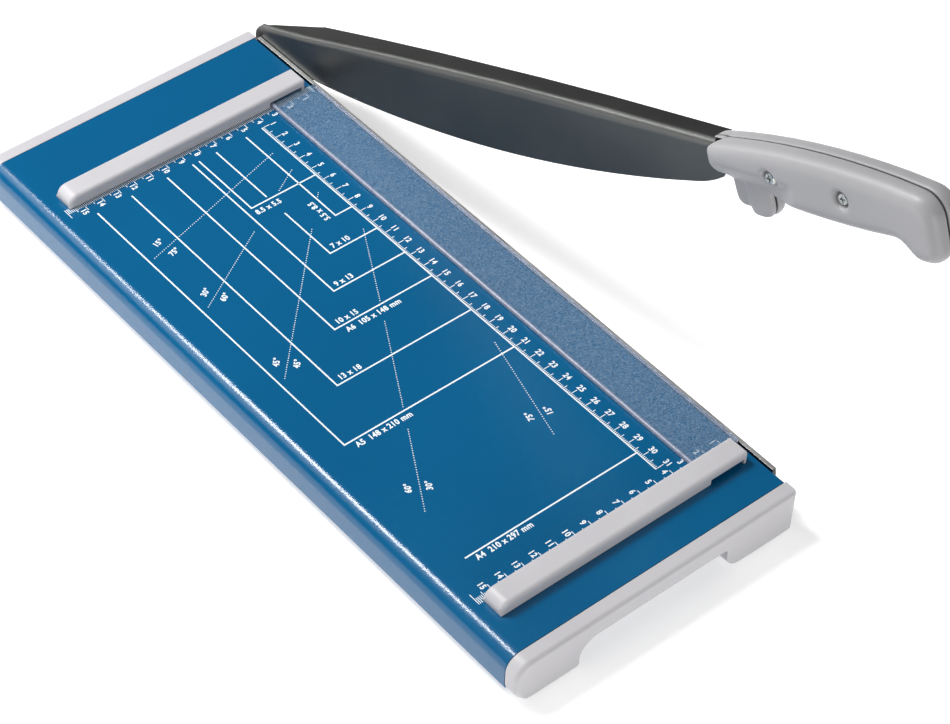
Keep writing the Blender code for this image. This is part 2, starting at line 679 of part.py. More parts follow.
def make_stop_rail(end):
    """Hollow moulding with two screw bosses and a notch over the guard's tab."""
    face, side = RAIL_FACES[end]
    back = face + side * RAIL_DEPTH
    middle = (face + back) / 2
    top = TABLE_HEIGHT + RAIL_HEIGHT
    outline = rounded([
        (RAIL_LEFT_X, face, RAIL_INNER_ROUND),
        (RAIL_RIGHT_X, face, RAIL_END_ROUND),
        (RAIL_RIGHT_X, back, RAIL_END_ROUND),
        (RAIL_LEFT_X, back, RAIL_OUTER_ROUND),
    ])
    rail = extruded(f"{end}_stop_rail", [outline], RAIL_BASE_Z, top, "XY", GREY_PLASTIC)
    round_edges(rail, RAIL_EDGE_ROUND, 3, both_at(2, top))
    notch_right = RAIL_RIGHT_X - RAIL_LEG
    notch_left = notch_right - RAIL_NOTCH
    low, high = sorted((face, back))
    pocket_right = notch_left - RAIL_SOLID_END
    inner_round = RAIL_OUTER_ROUND - RAIL_WALL
    hollow = rounded([
        (RAIL_LEFT_X + RAIL_WALL, face + side * RAIL_WALL, RAIL_WALL),
        (pocket_right, face + side * RAIL_WALL, RAIL_WALL),
        (pocket_right, back - side * RAIL_WALL, RAIL_WALL),
        (RAIL_LEFT_X + RAIL_WALL, back - side * RAIL_WALL, inner_round),
    ], math.radians(30))
    bosses = [circle((x, middle), RAIL_BOSS_RADIUS, SMALL_SIDES) for x in RAIL_SCREW_XS]
    pocket = extruded(f"{end}_rail_hollow", [hollow, *bosses], RAIL_BASE_Z - OVERRUN, top - RAIL_WALL, "XY")
    notch = block(
        f"{end}_rail_notch",
        (notch_left, low - OVERRUN, RAIL_BASE_Z - OVERRUN),
        (notch_right, high + OVERRUN, TABLE_HEIGHT + RAIL_NOTCH_HEIGHT),
    )
    cut(rail, pocket, notch)
    reach = GAP + SHEET + GAP + RAIL_SCREW_REACH
    places = [(x, middle, RAIL_BASE_Z) for x in RAIL_SCREW_XS]
    drill(rail, f"{end}_rail_screw_holes", SCREW_BORE, -OVERRUN, RAIL_SCREW_REACH + GAP, places)
    for side_name, x in zip(SIDES, RAIL_SCREW_XS):
        pan_screw(f"rail_screw_{end}_{side_name}", reach, (x, middle, DECK_UNDER_Z - GAP), (0, 0, 0))


def make_cutting_guard():
    """Flat strip beside the cut, with a tab at each end that a rail holds down."""
    left = -GUARD_INSET - GUARD_WIDTH
    tab_right = RAIL_RIGHT_X - RAIL_LEG - GUARD_TAB_PLAY
    ear_left = RAIL_RIGHT_X + GAP
    near = -CUT_LENGTH
    bottom = TABLE_HEIGHT + GUARD_FLOAT
    outline = rounded([
        (-GUARD_INSET, -GUARD_END_GAP, GUARD_CORNER_ROUND),
        (tab_right, -GUARD_END_GAP, 0),
        (tab_right, GUARD_TAB_REACH, GUARD_CORNER_ROUND),
        (left, GUARD_TAB_REACH, GUARD_CORNER_ROUND),
        (left, near - GUARD_TAB_REACH, GUARD_CORNER_ROUND),
        (tab_right, near - GUARD_TAB_REACH, GUARD_CORNER_ROUND),
        (tab_right, near + GUARD_END_GAP, 0),
        (ear_left, near + GUARD_END_GAP, 0),
        (ear_left, near - GUARD_EAR, 0),
        (-GUARD_INSET, near - GUARD_EAR, GUARD_CORNER_ROUND),
    ], math.radians(30))
    guard = extruded("cutting_guard", [outline], bottom, bottom + GUARD_THICK, "XY", CLEAR_SHEET)
    round_edges(guard, GUARD_EDGE_ROUND, 1, both_at(2, bottom + GUARD_THICK))


def sink_screw(name, reach, y):
    """Countersunk screw through the lower blade and the table's wall, head towards +X."""
    top = BAR_FACE_X - SINK_BELOW
    profile = [
        (0, 0), (SINK_HEAD_RADIUS, 0), (SCREW_RADIUS, -SINK_HEAD_DEPTH), (SCREW_RADIUS, SCREW_TAIL - reach),
        (SCREW_RADIUS - SCREW_TAIL / 2, -reach), (0, -reach),
    ]
    place = (top, y, BAR_MIDDLE_Z)
    screw = turned(name, profile, ZINC, place, ALONG_X, sides=SMALL_SIDES)
    cross_drive(screw, -DRIVE_DEPTH, OVERRUN)


def make_lower_blade():
    """Straight bar on the table's right wall, its top edge flush with the deck."""
    bottom = TABLE_HEIGHT - BAR_HEIGHT
    outline = [
        (BAR_NEAR_Y, bottom),
        (BAR_NEAR_Y + BAR_SLANT, TABLE_HEIGHT),
        (BAR_FAR_Y, TABLE_HEIGHT),
        (BAR_FAR_Y, bottom),
    ]
    bar = extruded("lower_blade", [outline], BAR_BACK_X, BAR_FACE_X, "YZ", BAR_STEEL)
    place = (BAR_FACE_X, PIVOT_FROM_STOP, PIVOT_HEIGHT)
    drill(bar, "bar_pivot_hole", BOLT_BORE, -BAR_THICK - OVERRUN, OVERRUN, [place], ALONG_X, ROUND_SIDES)
    nut_seat = WALL_INSIDE_X - GAP
    reach = BAR_FACE_X - SINK_BELOW - nut_seat + NUT_THICK + SCREW_TAIL
    flare = (SINK_HEAD_RADIUS - SCREW_RADIUS) / SINK_HEAD_DEPTH
    for i, y in enumerate(bar_screw_ys()):
        hole = [
            (0, OVERRUN),
            (SINK_HEAD_RADIUS + BORE_GAP + flare * (SINK_BELOW + OVERRUN), OVERRUN),
            (SCREW_BORE, -SINK_BELOW - SINK_HEAD_DEPTH),
            (SCREW_BORE, -BAR_THICK - OVERRUN),
            (0, -BAR_THICK - OVERRUN),
        ]
        place = (BAR_FACE_X, y, BAR_MIDDLE_Z)
        cut(bar, turned(f"bar_screw_hole_{i}", hole, None, place, ALONG_X, sides=SMALL_SIDES))
        sink_screw(f"lower_blade_screw_{i + 1}", reach, y)
        seat = (nut_seat, y, BAR_MIDDLE_Z)
        nut(f"lower_blade_nut_{i + 1}", NUT_RADIUS, SCREW_BORE, NUT_THICK, seat, BACK_ALONG_X)


def ring_profile(bore, radius, low, high):
    return [(bore, high), (radius, high), (radius, low), (bore, low)]


def make_pivot():
    """Bolt from outside through the arm's bush, the lower blade, the wall and a steel block."""
    axis_place = (0, PIVOT_FROM_STOP, PIVOT_HEIGHT)
    block_low = (
        BLOCK_INSIDE_X, PIVOT_FROM_STOP - BLOCK_LENGTH / 2, WALL_FOOT + SHEET + GAP,
    )
    block_high = (WALL_INSIDE_X - GAP, PIVOT_FROM_STOP + BLOCK_LENGTH / 2, DECK_UNDER_Z - GAP)
    backing = block("pivot_block", block_low, block_high, BAR_STEEL)
    round_edges(backing, BLOCK_CORNER, 1, lambda a, b: abs(a.x - b.x) < WELD and abs(a.z - b.z) < WELD)
    low = -BLOCK_THICK - OVERRUN
    place = (WALL_INSIDE_X - GAP, PIVOT_FROM_STOP, PIVOT_HEIGHT)
    drill(backing, "block_hole", BOLT_BORE, low, OVERRUN, [place], ALONG_X, ROUND_SIDES)
    spring_x = BUSH_OUTER_X + GAP
    profile = ring_profile(BOLT_BORE, WASHER_RADIUS, spring_x, spring_x + SPRING_WASHER_THICK)
    turned("pivot_spring_washer", profile, ZINC, axis_place, ALONG_X, is_ring=True)
    flat_x = BLOCK_INSIDE_X - GAP
    profile = ring_profile(BOLT_BORE, WASHER_RADIUS, flat_x - FLAT_WASHER_THICK, flat_x)
    turned("pivot_flat_washer", profile, ZINC, axis_place, ALONG_X, is_ring=True)
    tail = NUT_SEAT_X - LOCK_NUT_THICK - BOLT_TAIL
    shank = [
        (0, BOLT_SEAT_X + BOLT_HEAD_THICK / 2), (BOLT_RADIUS, BOLT_SEAT_X + BOLT_HEAD_THICK / 2),
        (BOLT_RADIUS, tail + BOLT_EDGE_ROUND), (BOLT_RADIUS - BOLT_EDGE_ROUND, tail), (0, tail),
    ]
    bolt = turned("pivot_bolt", shank, ZINC, axis_place, ALONG_X)
    mesh = curve_mesh("bolt_head", [hexagon(BOLT_HEAD_RADIUS)], 0, BOLT_HEAD_THICK, "XY")
    place = (BOLT_SEAT_X, PIVOT_FROM_STOP, PIVOT_HEIGHT)
    join(bolt, new_piece("bolt_head", mesh, None, FRAME, place, ALONG_X))
    seat = (NUT_SEAT_X, PIVOT_FROM_STOP, PIVOT_HEIGHT)
    nut("pivot_lock_nut", LOCK_NUT_RADIUS, BOLT_BORE, LOCK_NUT_THICK, seat, BACK_ALONG_X)


def dip(run, radius):
    """How far a circle has left its tangent after this run."""
    return radius - math.sqrt(radius**2 - run**2)


def edge_height(out):
    """Height of the curved cutting edge above the pivot, which turns up at the tip."""
    return dip(out - EDGE_LOWEST, EDGE_RADIUS) - EDGE_DROP + dip(max(out - EDGE_TIP, 0), TIP_RADIUS)


def edge_outs():
    return spread(EDGE_START, EDGE_TIP, EDGE_STATIONS) + spread(EDGE_TIP, EDGE_END, TIP_STATIONS)[1:]


def fold_height(out):
    """Height of the folded top: level over the pivot, then rising with a slight crown."""
    share = min(max((out - FOLD_START) / (HANDLE_START - FOLD_START), 0), 1)
    return ARM_REAR_TOP + (FOLD_END_HEIGHT - ARM_REAR_TOP) * share + 4 * FOLD_CROWN * share * (1 - share)


def flange_reach(out):
    share = min(max((out - FLANGE_CORNER_END) / (HANDLE_START - FLANGE_CORNER_END), 0), 1)
    return FLANGE_REACH + (FLANGE_HANDLE_REACH - FLANGE_REACH) * share


def spread(start, end, count):
    return [start + (end - start) * i / count for i in range(count + 1)]


def loft(name, rows, is_ring, finish, parent):
    """Faces between rows of points, with both ends closed where the rows are rings."""
    shape = bmesh.new()
    grid = [[shape.verts.new(point) for point in row] for row in rows]
    for before, after in zip(grid, grid[1:]):
        for i in range(len(before) - (0 if is_ring else 1)):
            k = (i + 1) % len(before)
            shape.faces.new((before[i], before[k], after[k], after[i]))
    if is_ring:
        shape.faces.new(grid[0])
        shape.faces.new(grid[-1])
        bmesh.ops.recalc_face_normals(shape, faces=shape.faces)
    mesh = bpy.data.meshes.new(name)
    shape.to_mesh(mesh)
    shape.free()
    return new_piece(name, mesh, finish, parent)


def arm_sheet():
    """The folded blank: a skirt, the bend and the flange, lofted along the fold line."""
    rows = []
    stations = [-ARM_REAR - OVERRUN, *spread(FOLD_START, HANDLE_START, ARM_STATIONS), TANG_END + OVERRUN]
    bend_step = math.pi / 2 / ARM_BEND_SIDES
    bend = arc((ARM_FACE_X + ARM_BEND, -ARM_BEND), ARM_BEND, math.pi, math.pi / 2, bend_step)
    for out in stations:
        top = fold_height(out)
        row = [Vector((ARM_FACE_X, -out, top - ARM_SKIRT))]
        row += [Vector((point.x, -out, top + point.y)) for point in bend]
        row.append(Vector((flange_reach(out), -out, top)))
        rows.append(row)
    arm = loft("blade_arm", rows, False, BLADE_STEEL, ARM)
    shape = bmesh.new()
    shape.from_mesh(arm.data)
    shape.faces.ensure_lookup_table()
    if shape.faces[0].normal.x > 0:
        bmesh.ops.reverse_faces(shape, faces=shape.faces)
    shape.to_mesh(arm.data)
    shape.free()
    shell = arm.modifiers.new("sheet", "SOLIDIFY")
    shell.thickness = ARM_THICK
    shell.offset = -1
    shell.use_even_offset = True
    return arm


def arm_silhouette():
    """Side outline: round pivot end, rise to the heel, curved edge, and the tang."""
    heel = Vector((EDGE_HEEL, EDGE_START_HEIGHT))
    tangent = math.atan2(heel.y, heel.x) - math.acos(ARM_REAR / heel.length)
    outline = arc((0, 0), ARM_REAR, -math.pi, tangent)
    outline.append(heel)
    outline += [Vector((out, edge_height(out))) for out in edge_outs()]
    clear_top = FOLD_END_HEIGHT + ARM_BEND + FOLD_CROWN
    outline += rounded([
        (EDGE_END + TANG_SLOPE, TANG_BOTTOM, 0),
        (TANG_END, TANG_BOTTOM, TANG_ROUND),
        (TANG_END, TANG_TOP, TANG_ROUND),
        (HANDLE_START - GAP, TANG_TOP, 0),
        (HANDLE_START - GAP, clear_top, 0),
        (0, clear_top, 0),
    ])
    corner_top = ARM_REAR_TOP + GAP
    center = (ARM_REAR_ROUND - ARM_REAR, corner_top - ARM_REAR_ROUND)
    outline += arc(center, ARM_REAR_ROUND, math.pi / 2, math.pi)
    return [Vector((-point.x, point.y)) for point in outline]


def make_blade_arm():
    """Folded arm trimmed to its outline, with the flange's corner cut and the edge ground."""
    arm = arm_sheet()
    low, high = -OVERRUN, FLANGE_REACH + OVERRUN
    keep = extruded("arm_outline", [arm_silhouette()], low, high, "YZ", parent=ARM)
    boolean(arm, keep, "INTERSECT")
    trim_x = ARM_OUTER_X + FLANGE_TRIM_STEP
    beyond = FLANGE_REACH + OVERRUN
    slope = (FLANGE_CORNER_END - FLANGE_CORNER_START) / (FLANGE_REACH - trim_x)
    corner = [
        (trim_x, ARM_REAR + OVERRUN),
        (trim_x, -FLANGE_CORNER_START),
        (beyond, -FLANGE_CORNER_START - slope * (beyond - trim_x)),
        (beyond, ARM_REAR + OVERRUN),
    ]
    trim = extruded("flange_corner", [corner], 0, ARM_REAR_TOP + OVERRUN, "XY", parent=ARM)
    grind_slope = GRIND_HEIGHT / (ARM_THICK - GRIND_LAND)
    inner = ARM_FACE_X + GRIND_LAND
    outer = ARM_OUTER_X + GRIND_OVERRUN
    section = [
        (inner - GRIND_OVERRUN / grind_slope, -GRIND_OVERRUN),
        (outer, -GRIND_OVERRUN),
        (outer, (outer - inner) * grind_slope),
    ]
    path = [EDGE_START - OVERRUN, *edge_outs(), EDGE_END + OVERRUN]
    rows = [[Vector((x, -out, edge_height(out) + rise)) for x, rise in section] for out in path]
    grind = loft("edge_grind", rows, True, None, ARM)
    cut(arm, trim, grind)
    through = ARM_OUTER_X + OVERRUN
    bush_bore = BUSH_RADIUS + BORE_GAP
    drill(arm, "arm_pivot_hole", bush_bore, -OVERRUN, through, [(0, 0, 0)], ALONG_X, ROUND_SIDES)
    places = [(0, -out, height) for name, out, height in handle_screws()]
    drill(arm, "tang_holes", TANG_HOLE_RADIUS, -OVERRUN, through, places, ALONG_X)
    inside = ARM_FACE_X + GAP
    seat = ARM_OUTER_X + GAP
    profile = [
        (BOLT_BORE, BUSH_OUTER_X), (BUSH_FLANGE_RADIUS, BUSH_OUTER_X), (BUSH_FLANGE_RADIUS, seat),
        (BUSH_RADIUS, seat), (BUSH_RADIUS, inside), (BOLT_BORE, inside),
    ]
    turned("pivot_bush", profile, BRASS, (0, 0, 0), ALONG_X, is_ring=True, parent=ARM)


def handle_screws():
    """(name, out, height) of the two screws that clamp the handle on the tang."""
    return [
        ("front", HANDLE_START + FRONT_SCREW_OUT, FRONT_SCREW_HEIGHT),
        ("rear", TANG_END - REAR_SCREW_FROM_END, REAR_SCREW_HEIGHT),
    ]


def grip_outline(start):
    """Side outline of the grip from this distance out: arched top, hooked nose, slight belly."""
    crown_out = HANDLE_START + HANDLE_CROWN_OUT
    belly_out = HANDLE_START + HANDLE_BELLY_OUT
    nose_front = HANDLE_END - NOSE_LENGTH

    def top(out):
        return HANDLE_CROWN - dip(out - crown_out, HANDLE_ARCH_RADIUS)

    def belly(out):
        return HANDLE_BELLY + dip(out - belly_out, HANDLE_BELLY_RADIUS)

    top_end = HANDLE_END - NOSE_TOP_ROUND
    belly_end = nose_front - NOSE_BOTTOM_ROUND
    corners = [(out, top(out), 0) for out in spread(start, top_end, HANDLE_STATIONS)[:-1]]
    corners += [
        (HANDLE_END, top(HANDLE_END), NOSE_TOP_ROUND),
        (HANDLE_END, NOSE_BOTTOM, NOSE_BOTTOM_ROUND),
        (nose_front + NOSE_SLOPE, NOSE_BOTTOM, NOSE_BOTTOM_ROUND),
        (nose_front, belly(nose_front), NOSE_BOTTOM_ROUND),
    ]
    corners += [(out, belly(out), 0) for out in spread(belly_end, start, HANDLE_STATIONS)[1:]]
    return rounded([(-out, height, radius) for out, height, radius in corners])


def passing_undercut(name):
    """What the grip leaves free for the table: a slanted underside, ramped off behind the boss."""
    left, right = -HANDLE_LEFT - OVERRUN, HANDLE_RIGHT + OVERRUN
    floor = NOSE_BOTTOM - OVERRUN
    slope = (SLANT_TOP - SLANT_MIDDLE) / (HANDLE_LEFT - SLANT_MIDDLE_LEFT)
    section = [
        (right, floor), (right, COLLAR_BOTTOM), (COLLAR_RIGHT, COLLAR_BOTTOM), (BAR_FACE_X, SLANT_FOOT),
        (-SLANT_MIDDLE_LEFT, SLANT_MIDDLE), (left, SLANT_TOP + slope * OVERRUN), (left, floor),
    ]
    front, back = -HANDLE_START + OVERRUN, -HANDLE_START - RAMP_END
    under = extruded(name + "_undercut", [section], back - OVERRUN, front, "XZ", parent=ARM)
    ramp_step = (RAMP_END - RAMP_CLEAR) / (HANDLE_LEFT - RAMP_CLEAR_LEFT)
    plan = [
        (right + OVERRUN, front + OVERRUN), (left - OVERRUN, front + OVERRUN),
        (left - OVERRUN, back - ramp_step * (OVERRUN + OVERRUN)), (-HANDLE_LEFT, back),
        (-RAMP_CLEAR_LEFT, -HANDLE_START - RAMP_CLEAR), (BOSS_LEFT, -HANDLE_START - RAMP_START),
        (BOSS_LEFT + BOSS_TOE_ROUND, -HANDLE_START - BOSS_START - BOSS_TOE_ROUND),
        (right + OVERRUN, -HANDLE_START - BOSS_START - BOSS_TOE_ROUND),
    ]
    reach = extruded(name + "_reach", [plan], floor - OVERRUN, HANDLE_CROWN, "XY", parent=ARM)
    boolean(under, reach, "INTERSECT")
    return under


def lug_part(name, start, length, low, toe_round, heel_round, left, right):
    """One rounded lobe below the grip, with its outer edges eased."""
    near, far = -HANDLE_START - start, -HANDLE_START - start - length
    outline = rounded([
        (near, LUG_TOP, 0), (near, low, toe_round), (far, low, heel_round), (far, LUG_TOP, 0),
    ])
    lobe = extruded(name, [outline], left, right, "YZ", parent=ARM)

    def on_side(a, b):
        return max(a.z, b.z) < LUG_TOP - WELD and (both_at(0, left)(a, b) or both_at(0, right)(a, b))

    round_edges(lobe, LUG_EDGE_ROUND, LUG_EDGE_SIDES, on_side)
    return lobe


def handle_blank(name, start):
    """The whole grip as one rounded solid, undercut to pass the table, with its lobe and boss."""
    grip = extruded(name, [grip_outline(start)], -HANDLE_LEFT, HANDLE_RIGHT, "YZ", HANDLE_PLASTIC, ARM)

    def on_side(a, b):
        at_front = both_at(1, -start)(a, b)
        return not at_front and (both_at(0, -HANDLE_LEFT)(a, b) or both_at(0, HANDLE_RIGHT)(a, b))

    round_edges(grip, HANDLE_ROUND, HANDLE_ROUND_SIDES, on_side)
    center = (HANDLE_FRONT_ROUND - HANDLE_LEFT, -HANDLE_START - HANDLE_FRONT_ROUND)
    beside, ahead = -HANDLE_LEFT - OVERRUN, -HANDLE_START + OVERRUN
    corner = arc(center, HANDLE_FRONT_ROUND, math.pi / 2, math.pi)
    corner += [(beside, center[1]), (beside, ahead), (center[0], ahead)]
    bottom, above = BOSS_BOTTOM - OVERRUN, HANDLE_CROWN + OVERRUN
    cut(grip, extruded(name + "_front_corner", [corner], bottom, above, "XY", parent=ARM))
    cut(grip, passing_undercut(name))
    lobe = lug_part(
        name + "_lobe", LOBE_START, LOBE_LENGTH, LOBE_BOTTOM, LOBE_ROUND, 0, LOBE_LEFT, LOBE_RIGHT
    )
    boss = lug_part(
        name + "_boss", BOSS_START, BOSS_LENGTH, BOSS_BOTTOM, BOSS_TOE_ROUND, BOSS_HEEL_ROUND,
        BOSS_LEFT, BOSS_RIGHT,
    )
    join(grip, lobe, boss)
    return grip


def make_handle():
    """Left half with the tang's pocket and recessed screws, right half with a clamping rib."""
    far = HANDLE_RIGHT + OVERRUN
    low = -HANDLE_END - OVERRUN
    left = handle_blank("handle_left_shell", HANDLE_START)
    right = handle_blank("handle_right_shell", HANDLE_START - HOOD_REACH)
    below = BOSS_BOTTOM - OVERRUN
    above = HANDLE_CROWN + OVERRUN
    seam_left, seam_right = HANDLE_SPLIT - GAP / 2, HANDLE_SPLIT + GAP / 2
    near = -HANDLE_LEFT - OVERRUN
    cut(left, block("left_split", (seam_left, low, below), (far, 0, above), parent=ARM))
    split = block("right_split", (near, low, below), (seam_right, 0, above), parent=ARM)
    hood_low = fold_height(HANDLE_START - HOOD_REACH) + GAP
    hood_end = -HANDLE_START + HOOD_REACH - HOOD_LENGTH
    hood_corner = (far, OVERRUN, above + OVERRUN)
    cut(split, block("hood_space", (HOOD_LEFT, hood_end, hood_low), hood_corner, parent=ARM))
    before = block("right_before", (near, -HANDLE_START, below), (far, 0, hood_low), parent=ARM)
    beside = block("right_beside", (HOOD_RIGHT, -HANDLE_START, below), (far, 0, above), parent=ARM)
    cut(right, split, before, beside)
    hood_seat = block(
        "hood_seat", (HOOD_LEFT - GAP, hood_end - GAP, hood_low - GAP), (far, 0, above), parent=ARM
    )
    cut(left, hood_seat)
    slot_end = EDGE_END + TANG_SLOPE + GAP
    slot_bottom = TANG_BOTTOM - TANG_SLOT_DEPTH
    pocket_outline = [
        (-HANDLE_START + OVERRUN, slot_bottom),
        (-slot_end, slot_bottom),
        (-slot_end, TANG_BOTTOM - GAP),
        (-TANG_END - GAP, TANG_BOTTOM - GAP),
        (-TANG_END - GAP, TANG_TOP + GAP),
        (-HANDLE_START + OVERRUN, TANG_TOP + GAP),
    ]
    past_seam = HANDLE_SPLIT + OVERRUN
    cut(left, extruded("tang_pocket", [pocket_outline], ARM_FACE_X - GAP, past_seam, "YZ", parent=ARM))
    rib_outline = [
        (-slot_end - GAP, TANG_BOTTOM),
        (-TANG_END, TANG_BOTTOM),
        (-TANG_END, TANG_TOP),
        (-slot_end - GAP, TANG_TOP),
    ]
    join(right, extruded("tang_rib", [rib_outline], ARM_OUTER_X + GAP, past_seam, "YZ", parent=ARM))
    foot = FOLD_END_HEIGHT - CHAMFER_DROP
    slope = CHAMFER_RISE / CHAMFER_LENGTH
    chamfer = [
        (-HANDLE_START + OVERRUN, foot - slope * OVERRUN),
        (-HANDLE_START - CHAMFER_LENGTH - OVERRUN, foot + CHAMFER_RISE + slope * OVERRUN),
        (-HANDLE_START - CHAMFER_LENGTH - OVERRUN, above), (-HANDLE_START + OVERRUN, above),
    ]
    cut(left, extruded("left_chamfer", [chamfer], near, far, "YZ", parent=ARM))
    seat_x = -HANDLE_LEFT + RECESS_DEPTH
    end = HANDLE_SCREW_REACH - seat_x
    places = [(seat_x, -out, height) for name, out, height in handle_screws()]
    drill(left, "handle_recesses", RECESS_RADIUS, -RECESS_DEPTH - OVERRUN, 0, places, ALONG_X)
    drill(left, "handle_screw_holes", SCREW_BORE, -OVERRUN, end, places, ALONG_X)
    drill(right, "handle_blind_holes", SCREW_BORE, 0, end + GAP, places, ALONG_X)
    for name, out, height in handle_screws():
        pan_screw(f"handle_screw_{name}", end, (seat_x - GAP, -out, height), ALONG_X, parent=ARM)


def center_on_origin():
    """Moves the frame so that the origin lies under the middle, on the desk."""
    bpy.context.view_layer.update()
    graph = bpy.context.evaluated_depsgraph_get()
    low = Vector((math.inf, math.inf, math.inf))
    high = -low
    for piece in PARTS.objects:
        if piece.type != "MESH":
            continue
        evaluated = piece.evaluated_get(graph)
        mesh = evaluated.to_mesh()
        for vertex in mesh.vertices:
            place = evaluated.matrix_world @ vertex.co
            low = Vector(map(min, low, place))
            high = Vector(map(max, high, place))
        evaluated.to_mesh_clear()
    FRAME.location = (-(low.x + high.x) / 2, -(low.y + high.y) / 2, -low.z)
    bpy.context.view_layer.update()
    print("frame at", tuple(round(value, 6) for value in FRAME.location))
    print("pivot at", tuple(round(value, 6) for value in ARM.matrix_world.translation))
    print("size", tuple(round(value, 6) for value in high - low))


make_table_deck()
for cap_end in CAP_SEAMS:
    make_end_cap(cap_end)
for rail_end in RAIL_FACES:
    make_stop_rail(rail_end)
make_cutting_guard()
make_lower_blade()
make_pivot()
make_blade_arm()
make_handle()
center_on_origin()
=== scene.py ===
import json
import math

import bpy
from mathutils import Matrix, Vector


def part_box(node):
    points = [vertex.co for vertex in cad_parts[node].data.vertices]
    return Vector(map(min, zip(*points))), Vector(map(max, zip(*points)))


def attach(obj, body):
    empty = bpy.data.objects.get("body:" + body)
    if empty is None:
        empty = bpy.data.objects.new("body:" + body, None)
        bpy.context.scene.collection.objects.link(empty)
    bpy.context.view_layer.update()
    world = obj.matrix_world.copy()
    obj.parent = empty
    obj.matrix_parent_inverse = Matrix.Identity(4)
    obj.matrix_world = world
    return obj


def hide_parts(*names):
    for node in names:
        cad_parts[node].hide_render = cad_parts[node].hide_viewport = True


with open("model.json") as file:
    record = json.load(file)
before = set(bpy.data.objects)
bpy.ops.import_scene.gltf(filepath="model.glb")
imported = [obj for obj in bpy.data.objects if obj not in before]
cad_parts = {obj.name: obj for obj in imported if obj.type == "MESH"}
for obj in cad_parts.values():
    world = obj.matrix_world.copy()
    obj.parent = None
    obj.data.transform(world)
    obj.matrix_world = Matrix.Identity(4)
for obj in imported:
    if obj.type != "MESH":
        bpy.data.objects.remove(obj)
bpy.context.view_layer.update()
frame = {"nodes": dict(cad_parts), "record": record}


# The view of the photograph: a long lens from the front left and well above. The lens is shifted
# sideways, because the photograph is cut from a wider picture.
camera_lens = bpy.data.cameras.new("photo_camera")
camera_lens.sensor_width = 36
camera_lens.lens = 110.86
camera_lens.shift_x = 0.158
camera = bpy.data.objects.new("photo_camera", camera_lens)
camera.location = (-0.64036, -0.74869, 1.02751)
camera.rotation_euler = (math.radians(44.017), 0, math.radians(-38.032))
bpy.context.scene.collection.objects.link(camera)
bpy.context.scene.camera = camera


# The studio: a pale floor lit from within, so that shadows stay faint, and soft boxes round the table.
# The key light is narrow, and the left fold of the table mirrors it as a bright streak. The low box far
# behind draws a line of light along the arm's top fold.
SKY_LIGHT = 0.12
SKY_SEEN = 0.85
FLOOR_GLOW = 0.46
bpy.context.scene.view_settings.view_transform = "Standard"
surround = bpy.data.worlds.new("pale_surround")
surround.use_nodes = True
backdrop = surround.node_tree.nodes["Background"]
backdrop.inputs["Color"].default_value = (1, 1, 1, 1)
ray = surround.node_tree.nodes.new("ShaderNodeLightPath")
seen_or_lit = surround.node_tree.nodes.new("ShaderNodeMapRange")
seen_or_lit.inputs["To Min"].default_value = SKY_LIGHT
seen_or_lit.inputs["To Max"].default_value = SKY_SEEN
surround.node_tree.links.new(ray.outputs["Is Camera Ray"], seen_or_lit.inputs["Value"])
surround.node_tree.links.new(seen_or_lit.outputs["Result"], backdrop.inputs["Strength"])
bpy.context.scene.world = surround

bpy.ops.object.select_all(action="DESELECT")
bpy.ops.mesh.primitive_plane_add(size=12)
floor = bpy.context.object
floor.name = "studio_floor"
floor_paint = bpy.data.materials.new("studio_floor_paint")
floor_paint.use_nodes = True
floor_shader = floor_paint.node_tree.nodes["Principled BSDF"]
floor_shader.inputs["Base Color"].default_value = (0.85, 0.85, 0.85, 1)
floor_shader.inputs["Roughness"].default_value = 0.9
floor_shader.inputs["Emission Color"].default_value = (1, 1, 1, 1)
floor_shader.inputs["Emission Strength"].default_value = FLOOR_GLOW
floor.data.materials.append(floor_paint)


def soft_box(name, place, target, size, power):
    """An area light that faces its target."""
    lamp = bpy.data.lights.new(name, "AREA")
    lamp.shape = "RECTANGLE"
    lamp.size, lamp.size_y = size
    lamp.energy = power
    box = bpy.data.objects.new(name, lamp)
    box.location = place
    box.rotation_euler = (Vector(target) - Vector(place)).to_track_quat("-Z", "Y").to_euler()
    bpy.context.scene.collection.objects.link(box)


soft_box("key_soft_box", place=(-0.39, 0.87, 1.5), target=(-0.09, -0.1, 0), size=(0.34, 0.6), power=27)
soft_box("overhead_soft_box", place=(0.3, 0.1, 2.2), target=(0, 0, 0), size=(1.4, 1.4), power=7)
soft_box("far_soft_box", place=(-0.5, 0.75, 0.75), target=(0, 0.1, 0), size=(0.7, 0.6), power=4)
soft_box("left_soft_box", place=(-1.8, 0.2, 1.3), target=(0, 0, 0), size=(1.2, 1.6), power=5)
soft_box("front_soft_box", place=(-0.35, -2.3, 0.65), target=(0, 0, 0), size=(1.4, 1.0), power=23)
soft_box("low_soft_box", place=(-0.75, 2.8, 0.75), target=(0.08, 0, 0.1), size=(1.0, 0.3), power=14)


# The table: one steel sheet, folded down at both sides and turned in below, powder coated blue. The
# coat is glossy with a fine orange peel, which breaks up the light along the left fold.
def new_material(name, color, roughness, metallic=0.0):
    """A material with its shader, for the nodes of a finish to be added."""
    made = bpy.data.materials.new(name)
    made.use_nodes = True
    shader = made.node_tree.nodes["Principled BSDF"]
    shader.inputs["Base Color"].default_value = (*color, 1)
    shader.inputs["Roughness"].default_value = roughness
    shader.inputs["Metallic"].default_value = metallic
    return made, shader


